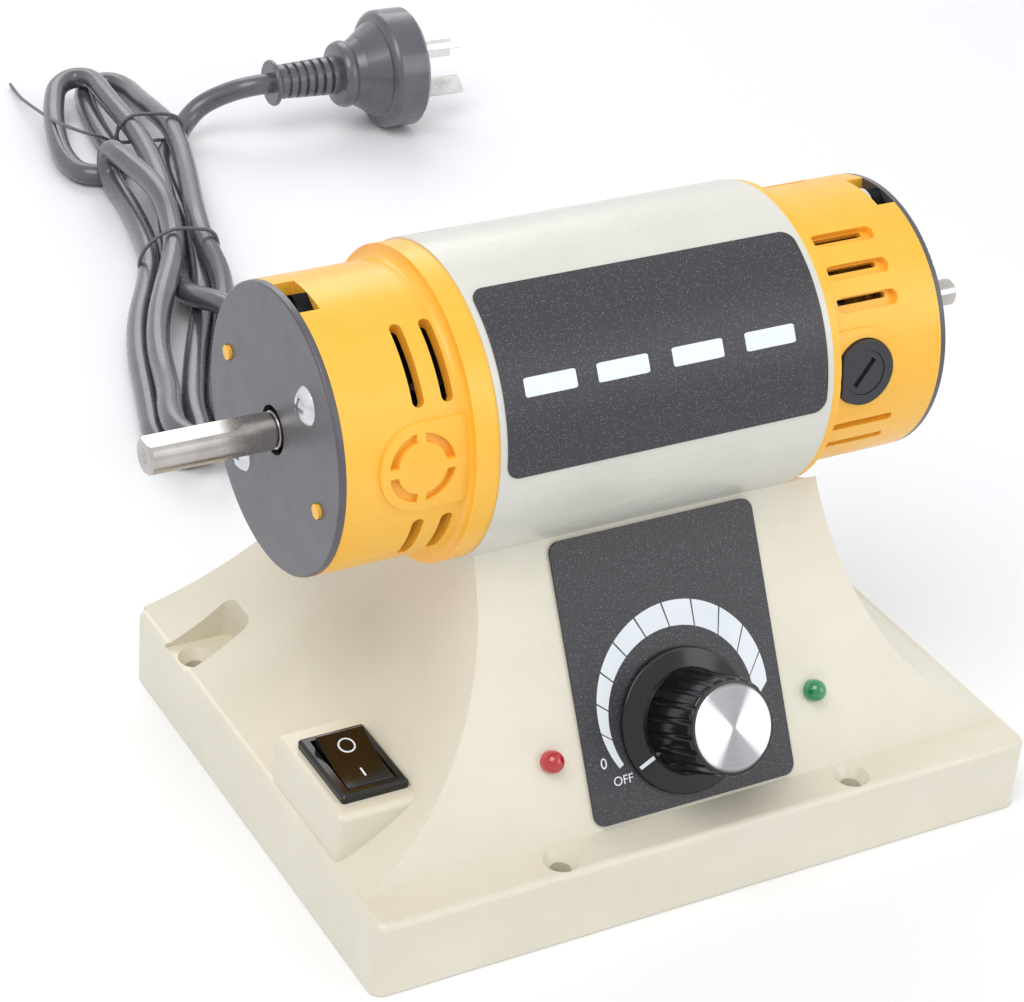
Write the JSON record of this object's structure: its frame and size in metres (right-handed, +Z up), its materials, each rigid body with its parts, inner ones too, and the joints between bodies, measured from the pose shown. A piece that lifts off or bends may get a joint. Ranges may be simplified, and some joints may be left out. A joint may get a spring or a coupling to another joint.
{
  "type": "dental polishing lathe",
  "caption": "Two-ended bench motor on a sloping cast base, with a speed dial, rocker switch, vented end housings and a mains lead.",
  "frame": {"origin": "centre of the base's footprint, on the bench", "axes": "+X along the spindle towards its thinner end, -Y the front with the control panel, +Z up"},
  "size_m": [0.2461, 0.4282, 0.1329],
  "materials": {
    "base_paint": "ivory hammered enamel",
    "cover_steel": "flat black",
    "zinc": "bright zinc",
    "plate_black": "fine speckle",
    "led_red": "clear dome",
    "led_green": "clear dome",
    "plated_steel": "plated",
    "knob_black": "gloss",
    "spun_aluminium": "spun rings",
    "switch_black": "satin gloss",
    "rocker_black": "gloss",
    "brass": "tinned",
    "board_green": "lacquered board",
    "capacitor_plastic": "moulded",
    "tube_paint": "light hammered enamel",
    "label_black": "printed film",
    "housing_yellow": "moulded gloss",
    "disc_black": "satin black",
    "black_steel": "blackened",
    "laminations": "stacked sheet",
    "copper_wire": "enamelled wire",
    "shaft_steel": "ground",
    "copper_bars": "turned",
    "fan_plastic": "moulded",
    "bearing_steel": "ground",
    "brush_plastic": "moulded",
    "carbon": "pressed carbon",
    "spring_steel": "drawn wire",
    "cord_grey": "satin PVC",
    "tie_wire": "thin coated wire",
    "brass_plated": "plated"
  },
  "bodies": {
    "machine": {"base_casting": "base_paint", "bottom_cover": "cover_steel", "cover_screws": "zinc", "saddle_screws": "zinc", "saddle_nuts": "zinc", "dial_plate": "plate_black", "led_red": "led_red", "led_green": "led_green", "pot_body": "plated_steel", "pot_nut": "zinc", "switch_housing": "switch_black", "switch_terminals": "brass", "control_board": "board_green", "triac_heatsink": "spun_aluminium", "suppression_capacitor": "capacitor_plastic", "motor_tube": "tube_paint", "motor_label": "label_black", "left_housing": "housing_yellow", "right_housing": "housing_yellow", "left_disc": "disc_black", "right_disc": "disc_black", "left_disc_screws": "zinc", "right_disc_screws": "zinc", "tie_bolts": "black_steel", "tie_washers": "zinc", "tie_nuts": "black_steel", "stator_core": "laminations", "field_coils": "copper_wire", "left_bearing_outer": "bearing_steel", "right_bearing_outer": "bearing_steel", "brush_holders": "brush_plastic", "brush_caps": "brush_plastic", "brushes": "carbon", "brush_springs": "spring_steel", "cord_gland": "cord_grey", "cord_lead": "cord_grey", "cord_hank": "cord_grey", "cord_tail": "cord_grey", "cord_ties": "tie_wire", "plug_body": "cord_grey", "plug_blades": "brass_plated"},
    "rotor": {"spindle": "shaft_steel", "armature_core": "laminations", "armature_winding": "copper_wire", "commutator": "copper_bars", "cooling_fan": "fan_plastic", "left_bearing_inner": "bearing_steel", "right_bearing_inner": "bearing_steel"},
    "speed_knob": {"knob_body": "knob_black", "knob_cap": "spun_aluminium", "pot_shaft": "plated_steel"},
    "power_rocker": {"switch_rocker": "rocker_black"}
  },
  "joints": [
    {"name": "spindle_spin", "type": "hinge", "parent": "machine", "child": "rotor", "pos_m": [0, 0, 0.0992], "axis": [1, 0, 0], "continuous": true},
    {"name": "knob_turn", "type": "hinge", "parent": "machine", "child": "speed_knob", "pos_m": [-0.0003, -0.04296, 0.03414], "axis": [0, -0.8726, 0.4885], "range_deg": [-270, 0]},
    {"name": "rocker_tilt", "type": "hinge", "parent": "machine", "child": "power_rocker", "pos_m": [-0.0695, -0.0248, 0.028], "axis": [1, 0, 0], "range_deg": [-20, 0]}
  ]
}
